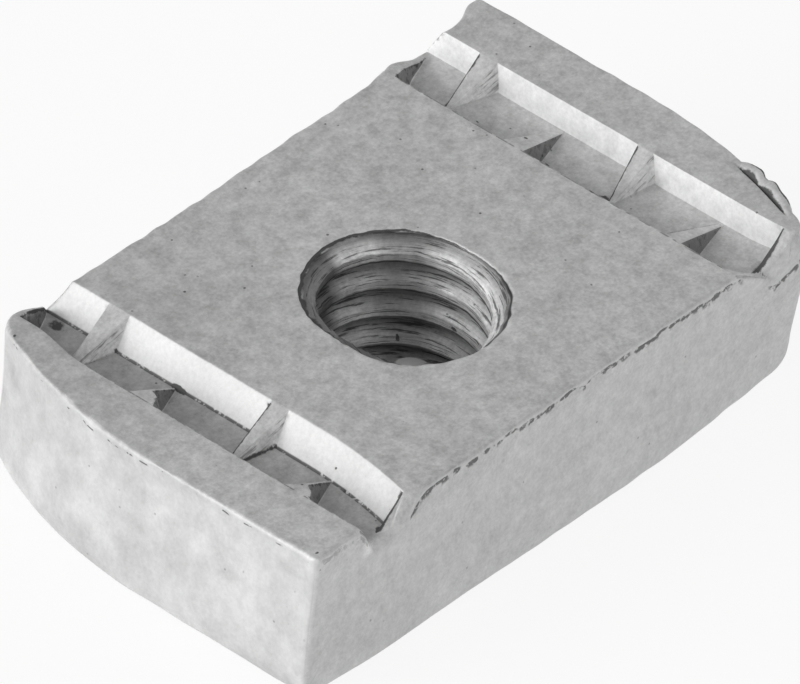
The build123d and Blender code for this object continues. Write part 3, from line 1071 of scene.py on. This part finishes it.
def floor_material(colour, whiteness):
    """Pale floor that the camera sees nearly white, with the shadow kept."""
    shader = Shader("pale_floor")
    ray = shader.node("ShaderNodeLightPath").outputs
    seen = Value(shader, ray["Is Camera Ray"])
    seen = seen.at_least(ray["Is Glossy Ray"]).at_least(ray["Is Transmission Ray"])
    plain = shader.node("ShaderNodeBsdfDiffuse", {}, {"Color": tuple(colour) + (1.0,)})
    white = shader.node("ShaderNodeEmission", {}, {"Color": grey(1.0), "Strength": 1.0})
    mixed = shader.node("ShaderNodeMixShader", {}, {
        0: seen * whiteness, 1: plain.outputs["BSDF"], 2: white.outputs["Emission"]})
    return shader.end(mixed.outputs["Shader"])


# Settings

class NutSizes(bpy.types.PropertyGroup):
    length: FloatProperty(
        name="Length", description="End to end, above the swell",
        default=0.0355, min=0.01, unit="LENGTH")
    width: FloatProperty(
        name="Width", description="Side to side, above the swell",
        default=0.0211, min=0.01, unit="LENGTH")
    thickness: FloatProperty(
        name="Thickness", description="Flat back to toothed face",
        default=block_high.z - block_low.z, min=0.004, unit="LENGTH")
    groove_depth: FloatProperty(
        name="Groove depth", description="Depth of the lip grooves",
        default=0.0014, min=0.0002, unit="LENGTH")
    thread_major_radius: FloatProperty(
        name="Thread major radius", description="Radius at the roots of the turns",
        default=0.00476, min=0.001, unit="LENGTH")
    thread_minor_radius: FloatProperty(
        name="Thread minor radius", description="Radius at the crests of the turns",
        default=0.00399, min=0.001, unit="LENGTH")
    thread_pitch: FloatProperty(
        name="Thread pitch", description="Rise of one turn",
        default=THREAD_PITCH * MM, min=0.0004, unit="LENGTH")


class NutFinish(bpy.types.PropertyGroup):
    steel_colour: FloatVectorProperty(
        name="Steel colour", description="Colour of the zinc coat",
        default=(0.62, 0.62, 0.62), min=0, max=1, subtype="COLOR")
    # Also the colour of the painted shade
    speck_and_shade_colour: FloatVectorProperty(
        name="Speck colour", description="Colour of the small dark specks and of the dirt",
        default=(0.06, 0.06, 0.06), min=0, max=1, subtype="COLOR")
    metal_share: FloatProperty(
        name="Metal share", description="How much of the coat shines as bare metal",
        default=0.3, min=0, max=1, subtype="FACTOR")


class StageLook(bpy.types.PropertyGroup):
    floor_colour: FloatVectorProperty(
        name="Floor colour", description="Colour of the floor",
        default=(0.93, 0.93, 0.93), min=0, max=1, subtype="COLOR")
    floor_whiteness: FloatProperty(
        name="Floor whiteness", description="How much of the floor is seen as plain white",
        default=0.88, min=0, max=1, subtype="FACTOR")
    room_light: FloatProperty(
        name="Room light", description="Strength of the even light of the room", default=0.3, min=0)
    low_light: FloatProperty(
        name="Low light", description="Power of the soft light low at the near end",
        default=2.9, min=0, unit="POWER")
    rear_light: FloatProperty(
        name="Rear light", description="Power of the soft light behind the near end",
        default=5.9, min=0, unit="POWER")
    far_light: FloatProperty(
        name="Far light", description="Power of the soft light at the far end",
        default=1.8, min=0, unit="POWER")
    front_light: FloatProperty(
        name="Front light", description="Power of the soft light beside the camera",
        default=1.4, min=0, unit="POWER")
    lens: FloatProperty(
        name="Lens", description="Focal length of the camera", default=997.2, min=50, unit="CAMERA")


# Operators

class NUT_OT_body(bpy.types.Operator):
    """Makes the coined and threaded steel block"""
    bl_idname = "channel_nut.body"
    bl_label = "Nut body"

    def execute(self, context):
        body = make_nut_mesh(context.scene.nut_sizes)
        body.data.materials.append(steel_material(context.scene.nut_finish))
        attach(body, "root")
        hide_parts("channel_nut")
        return {"FINISHED"}


def add_floor(scene, look):
    """The floor, a hair below the nut, so that the two faces don't flicker."""
    reach, gap = 3.0, 0.00001
    corners = [(x, y, -gap) for x, y in ((-reach, -reach), (reach, -reach), (reach, reach), (-reach, reach))]
    mesh = bpy.data.meshes.new("floor")
    mesh.from_pydata(corners, [], [(0, 1, 2, 3)])
    floor = bpy.data.objects.new("floor", mesh)
    scene.collection.objects.link(floor)
    floor.data.materials.append(floor_material(look.floor_colour, look.floor_whiteness))


def add_soft_light(scene, name, place, size, power):
    """A square soft light that points at the nut."""
    lamp = bpy.data.lights.new(name, "AREA")
    lamp.shape = "SQUARE"
    lamp.size = size
    lamp.energy = power
    light = bpy.data.objects.new(name, lamp)
    light.location = place
    light.rotation_euler = (-Vector(place)).to_track_quat("-Z", "Y").to_euler()
    light.visible_camera = False
    scene.collection.objects.link(light)


def add_camera(scene, lens):
    """The camera of the photograph, one metre from the nut."""
    turn, tilt, roll = (math.radians(angle) for angle in CAMERA_ANGLES)
    away = Vector((math.cos(tilt) * math.cos(turn), math.cos(tilt) * math.sin(turn), math.sin(tilt)))
    level_right = Vector((-math.sin(turn), math.cos(turn), 0.0))
    level_up = away.cross(level_right)
    right = level_right * math.cos(roll) + level_up * math.sin(roll)
    up = level_up * math.cos(roll) - level_right * math.sin(roll)
    data = bpy.data.cameras.new("camera")
    data.lens = lens
    data.sensor_width = 36.0
    data.sensor_fit = "HORIZONTAL"
    data.clip_start, data.clip_end = 0.05, 20.0
    camera = bpy.data.objects.new("camera", data)
    aim_right, aim_up = CAMERA_AIM
    place = (right * aim_right + up * aim_up) * MM + away * CAMERA_DISTANCE
    camera.matrix_world = Matrix((
        (right.x, up.x, away.x, place.x),
        (right.y, up.y, away.y, place.y),
        (right.z, up.z, away.z, place.z),
        (0, 0, 0, 1)))
    scene.collection.objects.link(camera)
    scene.camera = camera


class NUT_OT_stage(bpy.types.Operator):
    """Makes the floor, the lights and the camera"""
    bl_idname = "channel_nut.stage"
    bl_label = "Stage"

    def execute(self, context):
        scene = context.scene
        look = scene.stage_look
        add_floor(scene, look)

        world = bpy.data.worlds.new("studio")
        world.use_nodes = True
        background = world.node_tree.nodes["Background"]
        background.inputs["Color"].default_value = grey(1.0)
        background.inputs["Strength"].default_value = look.room_light
        scene.world = world
        for kind, place, size in SOFT_LIGHTS:
            add_soft_light(scene, kind + "_softbox", place, size, getattr(look, kind + "_light"))

        add_camera(scene, look.lens)
        scene.view_settings.view_transform = "Standard"
        return {"FINISHED"}


class NUT_PT_panel(bpy.types.Panel):
    """Lists the nut's settings and its steps"""
    bl_label = "Channel nut"
    bl_idname = "NUT_PT_panel"
    bl_space_type = "VIEW_3D"
    bl_region_type = "UI"
    bl_category = "Channel nut"

    def draw(self, context):
        layout = self.layout
        for group in (context.scene.nut_sizes, context.scene.nut_finish, context.scene.stage_look):
            box = layout.box()
            for name in group.__annotations__:
                box.prop(group, name)
        layout.operator("channel_nut.body")
        layout.operator("channel_nut.stage")


CLASSES = (NutSizes, NutFinish, StageLook, NUT_OT_body, NUT_OT_stage, NUT_PT_panel)


def register():
    for item in CLASSES:
        bpy.utils.register_class(item)
    bpy.types.Scene.nut_sizes = PointerProperty(type=NutSizes)
    bpy.types.Scene.nut_finish = PointerProperty(type=NutFinish)
    bpy.types.Scene.stage_look = PointerProperty(type=StageLook)


def unregister():
    del bpy.types.Scene.nut_sizes
    del bpy.types.Scene.nut_finish
    del bpy.types.Scene.stage_look
    for item in reversed(CLASSES):
        bpy.utils.unregister_class(item)


def main():
    register()
    bpy.ops.channel_nut.body()
    bpy.ops.channel_nut.stage()


if __name__ == "__main__":
    main()
